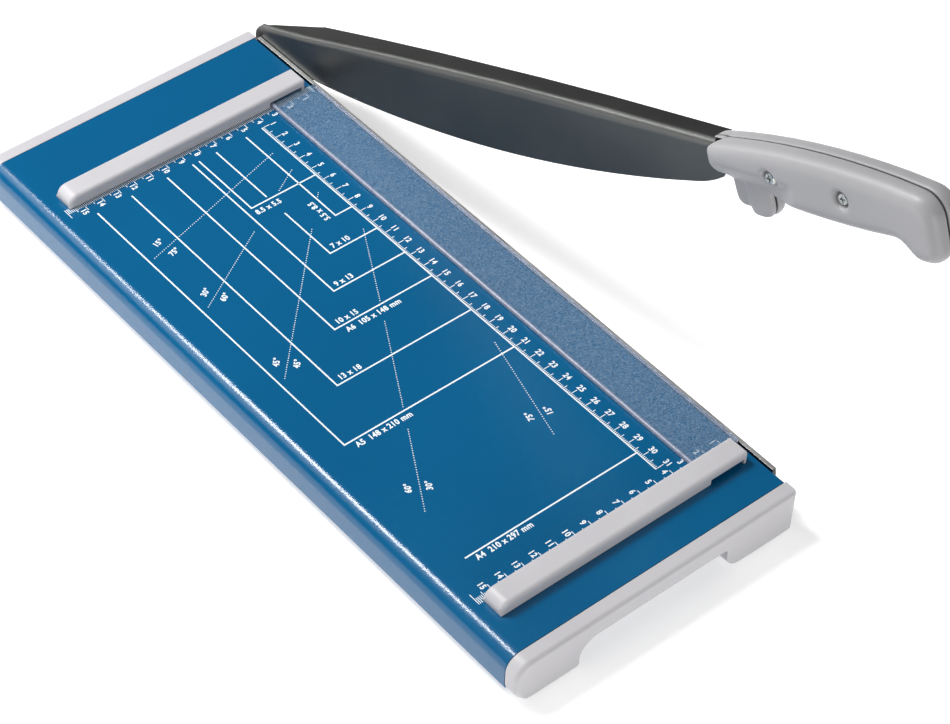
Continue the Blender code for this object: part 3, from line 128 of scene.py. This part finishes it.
def grain_group():
    """Fine and broad noise in object space: a bump height, and a mask of broad patches."""
    group = bpy.data.node_groups.new("surface_grain", "ShaderNodeTree")
    for name, kind, in_out, value in (
        ("Grain Scale", "NodeSocketFloat", "INPUT", 1500.0),
        ("Patch Scale", "NodeSocketFloat", "INPUT", 25.0),
        ("Height", "NodeSocketFloat", "OUTPUT", None),
        ("Patches", "NodeSocketFloat", "OUTPUT", None),
    ):
        socket = group.interface.new_socket(name, in_out=in_out, socket_type=kind)
        if value is not None:
            socket.default_value = value
    nodes, links = group.nodes, group.links
    entry, leave = nodes.new("NodeGroupInput"), nodes.new("NodeGroupOutput")
    place = nodes.new("ShaderNodeTexCoord")
    fine, broad = nodes.new("ShaderNodeTexNoise"), nodes.new("ShaderNodeTexNoise")
    fine.inputs["Detail"].default_value = 3
    broad.inputs["Detail"].default_value = 4
    for noise, scale, output in ((fine, "Grain Scale", "Height"), (broad, "Patch Scale", "Patches")):
        links.new(place.outputs["Object"], noise.inputs["Vector"])
        links.new(entry.outputs[scale], noise.inputs["Scale"])
        links.new(noise.outputs["Fac"], leave.inputs[output])
    return group


surface_grain = grain_group()
PATCH_LOW, PATCH_HIGH = 0.3, 0.7


def add_grain(made, shader, grain, patch, depth, roughness, colors):
    """Gives a material its bump, and lets roughness and colour drift over broad patches."""
    nodes, links = made.node_tree.nodes, made.node_tree.links
    texture = nodes.new("ShaderNodeGroup")
    texture.node_tree = surface_grain
    texture.inputs["Grain Scale"].default_value = grain
    texture.inputs["Patch Scale"].default_value = patch
    bump = nodes.new("ShaderNodeBump")
    bump.inputs["Distance"].default_value = depth
    links.new(texture.outputs["Height"], bump.inputs["Height"])
    links.new(bump.outputs["Normal"], shader.inputs["Normal"])
    spread = nodes.new("ShaderNodeMapRange")
    spread.inputs["From Min"].default_value = PATCH_LOW
    spread.inputs["From Max"].default_value = PATCH_HIGH
    spread.inputs["To Min"].default_value, spread.inputs["To Max"].default_value = roughness
    links.new(texture.outputs["Patches"], spread.inputs["Value"])
    links.new(spread.outputs["Result"], shader.inputs["Roughness"])
    ramp = nodes.new("ShaderNodeValToRGB")
    low_stop, high_stop = ramp.color_ramp.elements
    low_stop.position, high_stop.position = PATCH_LOW, PATCH_HIGH
    low_stop.color = (*colors[0], 1)
    high_stop.color = (*colors[1], 1)
    links.new(texture.outputs["Patches"], ramp.inputs["Fac"])
    links.new(ramp.outputs["Color"], shader.inputs["Base Color"])
    return texture


deck_paint, deck_shader = new_material("deck_paint", (0.0, 0.1, 0.26), roughness=0.2)
deck_shader.inputs["IOR"].default_value = 1.46
add_grain(
    deck_paint, deck_shader, grain=1700, patch=9, depth=0.00008,
    roughness=(0.13, 0.17), colors=((0, 0.086, 0.208), (0, 0.097, 0.23)),
)


WELD_GAP = 0.000002
FLAT_ANGLE = math.radians(0.5)
SHARP_ANGLE = math.radians(32)


def merged_copy(node, name):
    """A copy of a CAD node with its loose triangles merged to whole faces."""
    bpy.ops.object.select_all(action="DESELECT")
    piece = bpy.data.objects.new(name, frame["nodes"][node].data.copy())
    bpy.context.scene.collection.objects.link(piece)
    bpy.context.view_layer.objects.active = piece
    piece.select_set(True)
    bpy.ops.object.mode_set(mode="EDIT")
    bpy.ops.mesh.select_all(action="SELECT")
    bpy.ops.mesh.remove_doubles(threshold=WELD_GAP)
    bpy.ops.mesh.dissolve_limited(angle_limit=FLAT_ANGLE)
    bpy.ops.object.mode_set(mode="OBJECT")
    return piece


def apply(piece, kind, **settings):
    """Adds one modifier with its settings and applies it."""
    step = piece.modifiers.new(kind.lower(), kind)
    for name, value in settings.items():
        setattr(step, name, value)
    bpy.context.view_layer.objects.active = piece
    bpy.ops.object.modifier_apply(modifier=step.name)


def ease_edges(piece, width, sides):
    """Rounds every sharp edge a little."""
    apply(piece, "BEVEL", width=width, segments=sides, limit_method="ANGLE", angle_limit=SHARP_ANGLE)


def finished(piece, node, body, finish):
    """Smooths the piece's curves, gives it its material and lets it take the node's place."""
    bpy.ops.object.select_all(action="DESELECT")
    piece.select_set(True)
    bpy.context.view_layer.objects.active = piece
    bpy.ops.object.shade_smooth_by_angle(angle=SHARP_ANGLE)
    apply(piece, "WEIGHTED_NORMAL", mode="FACE_AREA", weight=100, keep_sharp=True)
    piece.data.materials.clear()
    piece.data.materials.append(finish)
    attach(piece, body)
    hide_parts(node)
    return piece


def eased_copy(node, name, width, body, finish, sides=2):
    """A merged copy of a CAD node with eased edges, which takes the node's place."""
    piece = merged_copy(node, name)
    ease_edges(piece, width, sides)
    return finished(piece, node, body, finish)


eased_copy(
    "table_deck", "folded_table_sheet", width=0.0002, body="table", finish=deck_paint,
)


# The print on the table: white screen printed ink. Rulers in millimetres stand along the cut and at
# both stops, and paper formats are drawn from the corner where the far stop meets the cut line. Marks
# touch but hardly overlap, because ink in one plane would shade itself.
ink_white, ink_shader = new_material("screen_ink", (0.82, 0.86, 0.88), roughness=0.5)
add_grain(
    ink_white, ink_shader, grain=2500, patch=60, depth=0.00001,
    roughness=(0.42, 0.55), colors=((0.74, 0.8, 0.83), (0.86, 0.89, 0.9)),
)
INK_DEPTH = 0.00005
INK_PROUD = 0.00003
INK_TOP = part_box("table_deck")[1].z + INK_PROUD
CUT_FROM_BLADE = 0.00015
CUT_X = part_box("lower_blade")[1].x + CUT_FROM_BLADE
STOP_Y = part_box("far_stop_rail")[0].y
MM = 0.001


def print_at(x, y):
    """A place on the table in millimetres: left of the cut, and from the far stop towards the user."""
    return Vector((CUT_X - x * MM, STOP_Y - y * MM, INK_TOP - INK_DEPTH / 2))


def ink_bar(name, start, end, width):
    """One printed line between two places, as a flat bar of ink."""
    bpy.ops.object.select_all(action="DESELECT")
    run = end - start
    turn = math.atan2(run.y, run.x)
    bpy.ops.mesh.primitive_cube_add(size=1, location=(start + end) / 2, rotation=(0, 0, turn))
    bar = bpy.context.object
    bar.name = name
    bar.scale = (run.length, width, INK_DEPTH)
    bpy.ops.object.transform_apply(location=True, rotation=True, scale=True)
    return bar


def repeated(piece, step, count):
    """The piece in a row of copies, one step apart."""
    apply(
        piece, "ARRAY", use_relative_offset=False, use_constant_offset=True,
        constant_offset_displace=step, count=count,
    )
    return piece


CAPS_IN_SIZE = 0.70
STROKE_GAIN = 0.045
LETTER_SPACE = 1.08
NARROWED = 0.88


def ink_text(words, place, turn, height):
    """Printed lettering as a thin mesh, with its cap height and the angle that it reads along."""
    bpy.ops.object.select_all(action="DESELECT")
    bpy.ops.object.text_add()
    text = bpy.context.object
    text.data.body = words
    text.data.size = height / CAPS_IN_SIZE
    text.data.align_x = "CENTER"
    text.data.align_y = "CENTER"
    text.data.extrude = INK_DEPTH / 2
    text.data.offset = height * STROKE_GAIN
    text.data.resolution_u = 3
    text.data.space_character = LETTER_SPACE
    bpy.ops.object.convert(target="MESH")
    text.scale = (NARROWED, 1, 1)
    text.location = place
    text.rotation_euler = (0, 0, turn)
    bpy.ops.object.transform_apply(location=True, rotation=True, scale=True)
    return text


def print_piece(name, marks):
    """Joins printed marks to one piece of ink on the table."""
    bpy.ops.object.select_all(action="DESELECT")
    for mark in marks:
        mark.select_set(True)
    bpy.context.view_layer.objects.active = marks[0]
    bpy.ops.object.join()
    ink = bpy.context.object
    ink.name = name
    ink.data.materials.clear()
    ink.data.materials.append(ink_white)
    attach(ink, "table")


SIDE_LINE = 44.4
SIDE_LINE_WIDTH = 0.0006
SIDE_START, SIDE_END = 10, 310
HALF_TICK = 0.2
TICK_WIDTH = 0.0004
SIDE_TICKS = ((1, 0.3, 1.5), (5, 1.5, 3.0), (10, 3.0, 4.8))
READ_DOWN = -math.pi / 2
NUMERAL_HEIGHT = 0.0031
SIDE_NUMBERS_X = 37.5
SIDE_NUMBERS_SHIFT = 0.5
start, tip = print_at(SIDE_LINE, SIDE_START - HALF_TICK), print_at(SIDE_LINE, SIDE_END + HALF_TICK)
marks = [ink_bar("side_line", start, tip, SIDE_LINE_WIDTH)]
for step, base, reach in SIDE_TICKS:
    start, tip = print_at(SIDE_LINE - base, SIDE_START), print_at(SIDE_LINE - reach, SIDE_START)
    tick = ink_bar("side_tick", start, tip, TICK_WIDTH)
    marks.append(repeated(tick, (0, -step * MM, 0), (SIDE_END - SIDE_START) // step + 1))
for number in range(1, 32):
    place = print_at(SIDE_NUMBERS_X, number * 10 + SIDE_NUMBERS_SHIFT)
    marks.append(ink_text(str(number), place, READ_DOWN, NUMERAL_HEIGHT))
print_piece("side_ruler_print", marks)

STOP_TICKS = ((1, -1.3, 2.4), (5, 2.4, 3.8), (10, 3.8, 5.5))
SCALE_START, SCALE_END = 5, 160
BETWEEN_STOPS = 320
STOP_NUMBERS_SHIFT = 2.5
marks = []
for end, stop, way, number_gap in (("far", 0, 1, 5.5), ("near", BETWEEN_STOPS, -1, 6.3)):
    for step, base, reach in STOP_TICKS:
        first = SCALE_START if step < 10 else 10
        start, tip = print_at(first, stop + way * base), print_at(first, stop + way * reach)
        tick = ink_bar(f"{end}_tick", start, tip, TICK_WIDTH)
        marks.append(repeated(tick, (-step * MM, 0, 0), (SCALE_END - first) // step + 1))
    for number in range(1, 16):
        place = print_at(number * 10 + STOP_NUMBERS_SHIFT, stop + way * number_gap)
        marks.append(ink_text(str(number), place, READ_DOWN, NUMERAL_HEIGHT))
print_piece("stop_ruler_print", marks)

LINE_WIDTH = 0.0008
HALF_LINE = 0.4
LINES_FROM = 10.4
ENDS_AT = SIDE_LINE + 0.3
FORMATS = ((148, 210), (127, 178), (105, 148), (89, 127), (85, 55), (55, 85))
BROKEN_ACROSS, BROKEN_ALONG = 74, 105
BREAK_FROM, BREAK_TO = 53, 68
LONGEST_ACROSS, LONGEST_ALONG = 148, 297
LABEL_HEIGHT = 0.0032
LABELS = (
    ("7 x 10", 65.0, 101.6, 0), ("9 x 13", 80.3, 123.75, 0), ("10 x 15", 95.0, 144.7, 0),
    ("A6  105 x 148 mm", 84.1, 151.9, 0), ("13 x 18", 116.9, 174.7, 0),
    ("A5  148 x 210 mm", 127.2, 213.6, 0), ("A4  210 x 297 mm", 127.4, 300.15, 0),
    ("8.5 x 5.5", 77.5, 59.3, 0), ("5.5 x 8.5", 59.5, 77.5, -READ_DOWN),
)
marks = []
for across, along in FORMATS:
    start, tip = print_at(across, LINES_FROM), print_at(across, along + HALF_LINE)
    marks.append(ink_bar("format_side", start, tip, LINE_WIDTH))
    start, tip = print_at(across - HALF_LINE, along), print_at(ENDS_AT, along)
    marks.append(ink_bar("format_end", start, tip, LINE_WIDTH))
for low, high in ((LINES_FROM, BREAK_FROM), (BREAK_TO, BROKEN_ALONG + HALF_LINE)):
    start, tip = print_at(BROKEN_ACROSS, low), print_at(BROKEN_ACROSS, high)
    marks.append(ink_bar("format_side", start, tip, LINE_WIDTH))
for across, along in ((BROKEN_ACROSS - HALF_LINE, BROKEN_ALONG), (LONGEST_ACROSS, LONGEST_ALONG)):
    marks.append(ink_bar("format_end", print_at(across, along), print_at(ENDS_AT, along), LINE_WIDTH))
for words, x, y, turn in LABELS:
    marks.append(ink_text(words, print_at(x, y), turn, LABEL_HEIGHT))
print_piece("paper_format_print", marks)

DOT_PITCH = 0.0015
DOT_RADIUS = 0.00031
DOT_DEPTH = INK_DEPTH * 0.9
ANGLE_LINES = (
    ((144.4, 54.4), (49.4, 28.1)), ((143.8, 98.1), (92, 68.2)), ((66, 53.0), (49.4, 43.4)),
    ((143.8, 159), (69, 84.2)), ((53.6, 68.6), (49.4, 64.4)), ((144.4, 264.4), (117.6, 219.0)),
    ((111.2, 207.8), (81.3, 156.3)), ((75.4, 145.9), (49.4, 100)), ((66.9, 264.4), (49.4, 200.6)),
)
ANGLE_LABELS = (
    ("15°", 136.6, 46.6, 15), ("75°", 134.1, 56.6, 15), ("30°", 138.8, 89.1, 30),
    ("60°", 133.4, 97.5, 30), ("45°", 140.3, 148.1, 45), ("45°", 133.1, 155, 45),
    ("60°", 141.6, 248.8, 60), ("30°", 132.8, 253.4, 60), ("75°", 68.4, 249.1, 75),
    ("15°", 58.8, 251.6, 75),
)
marks = []
for start, end in ANGLE_LINES:
    first, last = print_at(*start), print_at(*end)
    run = last - first
    bpy.ops.object.select_all(action="DESELECT")
    bpy.ops.mesh.primitive_cylinder_add(vertices=8, radius=DOT_RADIUS, depth=DOT_DEPTH, location=first)
    bpy.ops.object.transform_apply(location=True)
    dots = int(run.length / DOT_PITCH)
    marks.append(repeated(bpy.context.object, run.normalized() * DOT_PITCH, dots))
for words, x, y, turn in ANGLE_LABELS:
    marks.append(ink_text(words, print_at(x, y), math.radians(turn), NUMERAL_HEIGHT))
print_piece("angle_print", marks)


# The end caps: light grey injection moulded plastic with a fine eroded texture, pushed over the ends
# of the folded sheet. Their top edges are rounded and each stands on two feet with rubber pads.
cap_plastic, cap_shader = new_material("cap_plastic", (0.5, 0.49, 0.5), roughness=0.5)
add_grain(
    cap_plastic, cap_shader, grain=2300, patch=20, depth=0.00006,
    roughness=(0.42, 0.52), colors=((0.47, 0.46, 0.48), (0.5, 0.49, 0.51)),
)
for end in ("near", "far"):
    eased_copy(
        f"{end}_end_cap", f"{end}_cap_moulding", width=0.00035, sides=3,
        body="table", finish=cap_plastic,
    )


# The stop rails: the same grey moulding, screwed down from below, square to the cut. Their left ends
# are rounded like a ski tip, and at the right they bridge the guard.
NOSE_ROUND = 0.0055
NOSE_SIDES = 12
NOSE_LENGTH = 0.0075
LONG_ROUND = 0.0022
LONG_SIDES = 6
RAIL_EASE = 0.0002
NEARLY = 0.00001


def bar_between(name, low, high):
    """A plain bar that fills the box between two corners."""
    bpy.ops.object.select_all(action="DESELECT")
    bpy.ops.mesh.primitive_cube_add(size=1, location=(low + high) / 2)
    bar = bpy.context.object
    bar.name = name
    bar.scale = high - low
    bpy.ops.object.transform_apply(location=True, rotation=True, scale=True)
    return bar


def round_edges_where(piece, wanted, radius, sides):
    """Rounds the edges whose two ends both pass a test."""
    bpy.context.view_layer.objects.active = piece
    bpy.ops.object.mode_set(mode="EDIT")
    bpy.ops.mesh.select_mode(type="EDGE")
    bpy.ops.mesh.select_all(action="DESELECT")
    bpy.ops.object.mode_set(mode="OBJECT")
    for edge in piece.data.edges:
        edge.select = all(wanted(piece.data.vertices[end].co) for end in edge.vertices)
    bpy.ops.object.mode_set(mode="EDIT")
    bpy.ops.mesh.bevel(offset=radius, segments=sides, profile=0.5)
    bpy.ops.object.mode_set(mode="OBJECT")


def combined(piece, other, operation):
    """The piece with another solid added to it or cut by it, and the other one gone."""
    apply(piece, "BOOLEAN", object=other, operation=operation, solver="EXACT")
    bpy.data.objects.remove(other)


for end in ("near", "far"):
    low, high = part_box(f"{end}_stop_rail")
    rail = merged_copy(f"{end}_stop_rail", f"{end}_rail_moulding")
    nose = bar_between("nose", low, Vector((low.x + NOSE_LENGTH, high.y, high.z)))
    combined(rail, nose, "UNION")
    outline = bar_between("rail_outline", low, high)
    round_edges_where(
        outline, lambda p: p.x < low.x + NEARLY and p.z > high.z - NEARLY, NOSE_ROUND, NOSE_SIDES,
    )
    for side_y in (low.y, high.y):
        round_edges_where(
            outline, lambda p: abs(p.y - side_y) < NEARLY and p.z > low.z + NEARLY, LONG_ROUND, LONG_SIDES,
        )
    combined(rail, outline, "INTERSECT")
    ease_edges(rail, RAIL_EASE, sides=2)
    finished(rail, f"{end}_stop_rail", "table", cap_plastic)


# The guard: a clear plastic strip, frosted below, that floats between the rails on the paper. Its two
# long rims are left polished, and they gather the light.
guard_plastic, guard_shader = new_material("guard_plastic", (0.5, 0.62, 0.8), roughness=0.3)
guard_shader.inputs["Transmission Weight"].default_value = 0.3
guard_shader.inputs["IOR"].default_value = 1.49
frost = add_grain(
    guard_plastic, guard_shader, grain=1100, patch=500, depth=0.00003,
    roughness=(0.25, 0.4), colors=((0.26, 0.4, 0.56), (0.4, 0.54, 0.7)),
)
CLEAREST, MILKIEST = 0.08, 0.36
haze = guard_plastic.node_tree.nodes.new("ShaderNodeMapRange")
haze.inputs["From Min"].default_value = 0.4
haze.inputs["From Max"].default_value = 0.62
haze.inputs["To Min"].default_value = CLEAREST
haze.inputs["To Max"].default_value = MILKIEST
guard_plastic.node_tree.links.new(frost.outputs["Height"], haze.inputs["Value"])
guard_plastic.node_tree.links.new(haze.outputs["Result"], guard_shader.inputs["Alpha"])
rim_plastic, rim_shader = new_material("guard_rim_plastic", (0.32, 0.35, 0.45), roughness=0.25)
rim_shader.inputs["Transmission Weight"].default_value = 0.3
rim_shader.inputs["IOR"].default_value = 1.49
add_grain(
    rim_plastic, rim_shader, grain=700, patch=300, depth=0.00004,
    roughness=(0.15, 0.3), colors=((0.28, 0.31, 0.42), (0.38, 0.41, 0.52)),
)
RIM_WIDTH = 0.0015
GUARD_EASE = 0.0003
guard = merged_copy("cutting_guard", "guard_strip")
ease_edges(guard, GUARD_EASE, sides=2)
guard_low, guard_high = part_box("cutting_guard")
left_rim, right_rim = guard_low.x + RIM_WIDTH, guard_high.x - RIM_WIDTH / 2
for rim_x in (left_rim, right_rim):
    bpy.ops.object.mode_set(mode="EDIT")
    bpy.ops.mesh.select_all(action="SELECT")
    bpy.ops.mesh.bisect(plane_co=(rim_x, 0, 0), plane_no=(1, 0, 0))
    bpy.ops.object.mode_set(mode="OBJECT")
finished(guard, "cutting_guard", "guard", guard_plastic)
guard.data.materials.append(rim_plastic)
for face in guard.data.polygons:
    if not left_rim < face.center.x < right_rim:
        face.material_index = 1


# The lower blade: a blackened steel bar, countersunk to the table's right wall. Its top edge is
# ground bright where it shears against the arm.
bar_steel, bar_shader = new_material("bar_steel", (0.06, 0.06, 0.065), roughness=0.35, metallic=1.0)
add_grain(
    bar_steel, bar_shader, grain=900, patch=40, depth=0.00002,
    roughness=(0.3, 0.45), colors=((0.05, 0.05, 0.055), (0.09, 0.09, 0.095)),
)
shear_bar = eased_copy(
    "lower_blade", "lower_blade_bar", width=0.00015, body="table", finish=bar_steel,
)
ground_steel, ground_shader = new_material("ground_steel", (0.57, 0.57, 0.56), roughness=0.45, metallic=1.0)
add_grain(
    ground_steel, ground_shader, grain=1600, patch=60, depth=0.00001,
    roughness=(0.4, 0.5), colors=((0.5, 0.5, 0.49), (0.64, 0.64, 0.63)),
)
shear_bar.data.materials.append(ground_steel)
FACES_UP = 0.6
for face in shear_bar.data.polygons:
    if face.normal.z > FACES_UP:
        face.material_index = 1


# The pivot block behind it: the same steel, welded to the table's wall, with the bolt through it.
def dress(nodes, finish):
    """Gives CAD nodes that stay as they are their finish."""
    for node in nodes:
        kept = frame["nodes"][node]
        kept.data.materials.clear()
        kept.data.materials.append(finish)


dress(["pivot_block"], bar_steel)


# The fasteners: zinc plated screws, nuts and washers of standard sizes. Only the handle's two screws
# show from the photograph's side.
def nodes_of(slot):
    """The CAD nodes that the record gives to one material slot."""
    return [row["node"] for row in frame["record"]["subparts"] if row["material_slot"] == slot]


zinc, zinc_shader = new_material("zinc_plate", (0.6, 0.6, 0.58), roughness=0.3, metallic=1.0)
add_grain(
    zinc, zinc_shader, grain=1200, patch=150, depth=0.00001,
    roughness=(0.22, 0.4), colors=((0.5, 0.52, 0.5), (0.68, 0.68, 0.64)),
)
dress(nodes_of("zinc"), zinc)


# The rubber pads under the feet: black, matt, slightly proud of the plastic.
pad_rubber, rubber_shader = new_material("pad_rubber", (0.015, 0.015, 0.015), roughness=0.85)
add_grain(
    pad_rubber, rubber_shader, grain=1800, patch=60, depth=0.00004,
    roughness=(0.75, 0.9), colors=((0.012, 0.012, 0.012), (0.02, 0.02, 0.02)),
)
dress(nodes_of("pad_rubber"), pad_rubber)


# The pivot's bush: plain turned brass, flanged where the arm runs against the spring washer.
brass, brass_shader = new_material("turned_brass", (0.6, 0.42, 0.16), roughness=0.3, metallic=1.0)
add_grain(
    brass, brass_shader, grain=1500, patch=90, depth=0.00001,
    roughness=(0.25, 0.35), colors=((0.55, 0.38, 0.15), (0.64, 0.46, 0.2)),
)
dress(["pivot_bush"], brass)


# The blade arm: hardened steel sheet folded along its top, oiled black and satin. The lower edge is
# ground on the outer side. The oil film keeps it dark where it is seen at a flat angle.
blade_steel, blade_shader = new_material("blade_steel", (0.125, 0.128, 0.124), roughness=0.36, metallic=1.0)
blade_shader.inputs["Specular Tint"].default_value = (0.4, 0.4, 0.4, 1)
add_grain(
    blade_steel, blade_shader, grain=1100, patch=14, depth=0.00004,
    roughness=(0.36, 0.43), colors=((0.115, 0.118, 0.114), (0.135, 0.138, 0.134)),
)
eased_copy(
    "blade_arm", "folded_blade_arm", width=0.00012, body="arm", finish=blade_steel,
)


# The handle: two grey moulded halves that clamp the arm's tang, with two recessed screws. The grip is
# undercut so that it passes the table, and every form runs into the next with a soft blend.
handle_plastic, handle_shader = new_material("handle_plastic", (0.4, 0.4, 0.41), roughness=0.42)
add_grain(
    handle_plastic, handle_shader, grain=2200, patch=15, depth=0.00003,
    roughness=(0.38, 0.46), colors=((0.295, 0.294, 0.302), (0.315, 0.312, 0.325)),
)
COLOR_A, COLOR_B, COLOR_RESULT = 6, 7, 2
# The colour that is multiplied in along the handle's seam, as painted shade in the joint between the
# halves.
SEAM_SHADE_COLOR = (0.3, 0.3, 0.3, 1)


def darken_the_seam(made, shader, seam_x, width):
    """Painted shade in the joint between the halves: the colour falls off close to the parting plane."""
    nodes, links = made.node_tree.nodes, made.node_tree.links
    place = nodes.new("ShaderNodeTexCoord")
    apart = nodes.new("ShaderNodeSeparateXYZ")
    near = nodes.new("ShaderNodeMath")
    near.operation = "COMPARE"
    near.inputs[1].default_value = seam_x
    near.inputs[2].default_value = width
    links.new(place.outputs["Object"], apart.inputs["Vector"])
    links.new(apart.outputs["X"], near.inputs[0])
    # Painted shade: the base colour is darkened in a narrow band around the parting plane.
    painted_shade = nodes.new("ShaderNodeMix")
    painted_shade.data_type = "RGBA"
    painted_shade.blend_type = "MULTIPLY"
    plain = shader.inputs["Base Color"].links[0].from_socket
    links.new(near.outputs["Value"], painted_shade.inputs["Factor"])
    links.new(plain, painted_shade.inputs[COLOR_A])
    painted_shade.inputs[COLOR_B].default_value = SEAM_SHADE_COLOR
    links.new(painted_shade.outputs[COLOR_RESULT], shader.inputs["Base Color"])


swing = next(joint for joint in frame["record"]["behaviour"]["joints"] if joint["name"] == "arm_swing")
pivot = Vector(swing["pos_m"])
raised = Matrix.Rotation(math.radians(swing["range_deg"][0]), 3, "X")
SEAM_FROM_PIVOT = 0.004
SEAM_SHADE_WIDTH = 0.0005
# The handle's seam gets painted shade: a darker line in its colour along the parting plane.
darken_the_seam(handle_plastic, handle_shader, pivot.x + SEAM_FROM_PIVOT, SEAM_SHADE_WIDTH)


def on_the_arm(point):
    """A point as it lies when the arm is level, measured from the pivot."""
    return raised @ (point - pivot)


BLEND_CELL = 0.0005
BLEND_PASSES = 4
LUG_PASSES = 45
LUG_LENGTH = 0.036
NONE_ABOVE = 0.019
ALL_BELOW = 0.012
left_shell = frame["nodes"]["handle_left_shell"].data
grip_start = max(on_the_arm(vertex.co).y for vertex in left_shell.vertices)
for side in ("left", "right"):
    grip = merged_copy(f"handle_{side}_shell", f"grip_{side}_half")
    apply(grip, "REMESH", mode="VOXEL", voxel_size=BLEND_CELL)
    apply(grip, "SMOOTH", factor=0.5, iterations=BLEND_PASSES)
    lug = grip.vertex_groups.new(name="lug")
    for vertex in grip.data.vertices:
        place = on_the_arm(vertex.co)
        share = min(1, (NONE_ABOVE - place.z) / (NONE_ABOVE - ALL_BELOW))
        if share > 0 and grip_start - place.y < LUG_LENGTH:
            lug.add([vertex.index], share, "REPLACE")
    apply(grip, "SMOOTH", factor=0.5, iterations=LUG_PASSES, vertex_group="lug")
    finished(grip, f"handle_{side}_shell", "arm", handle_plastic)
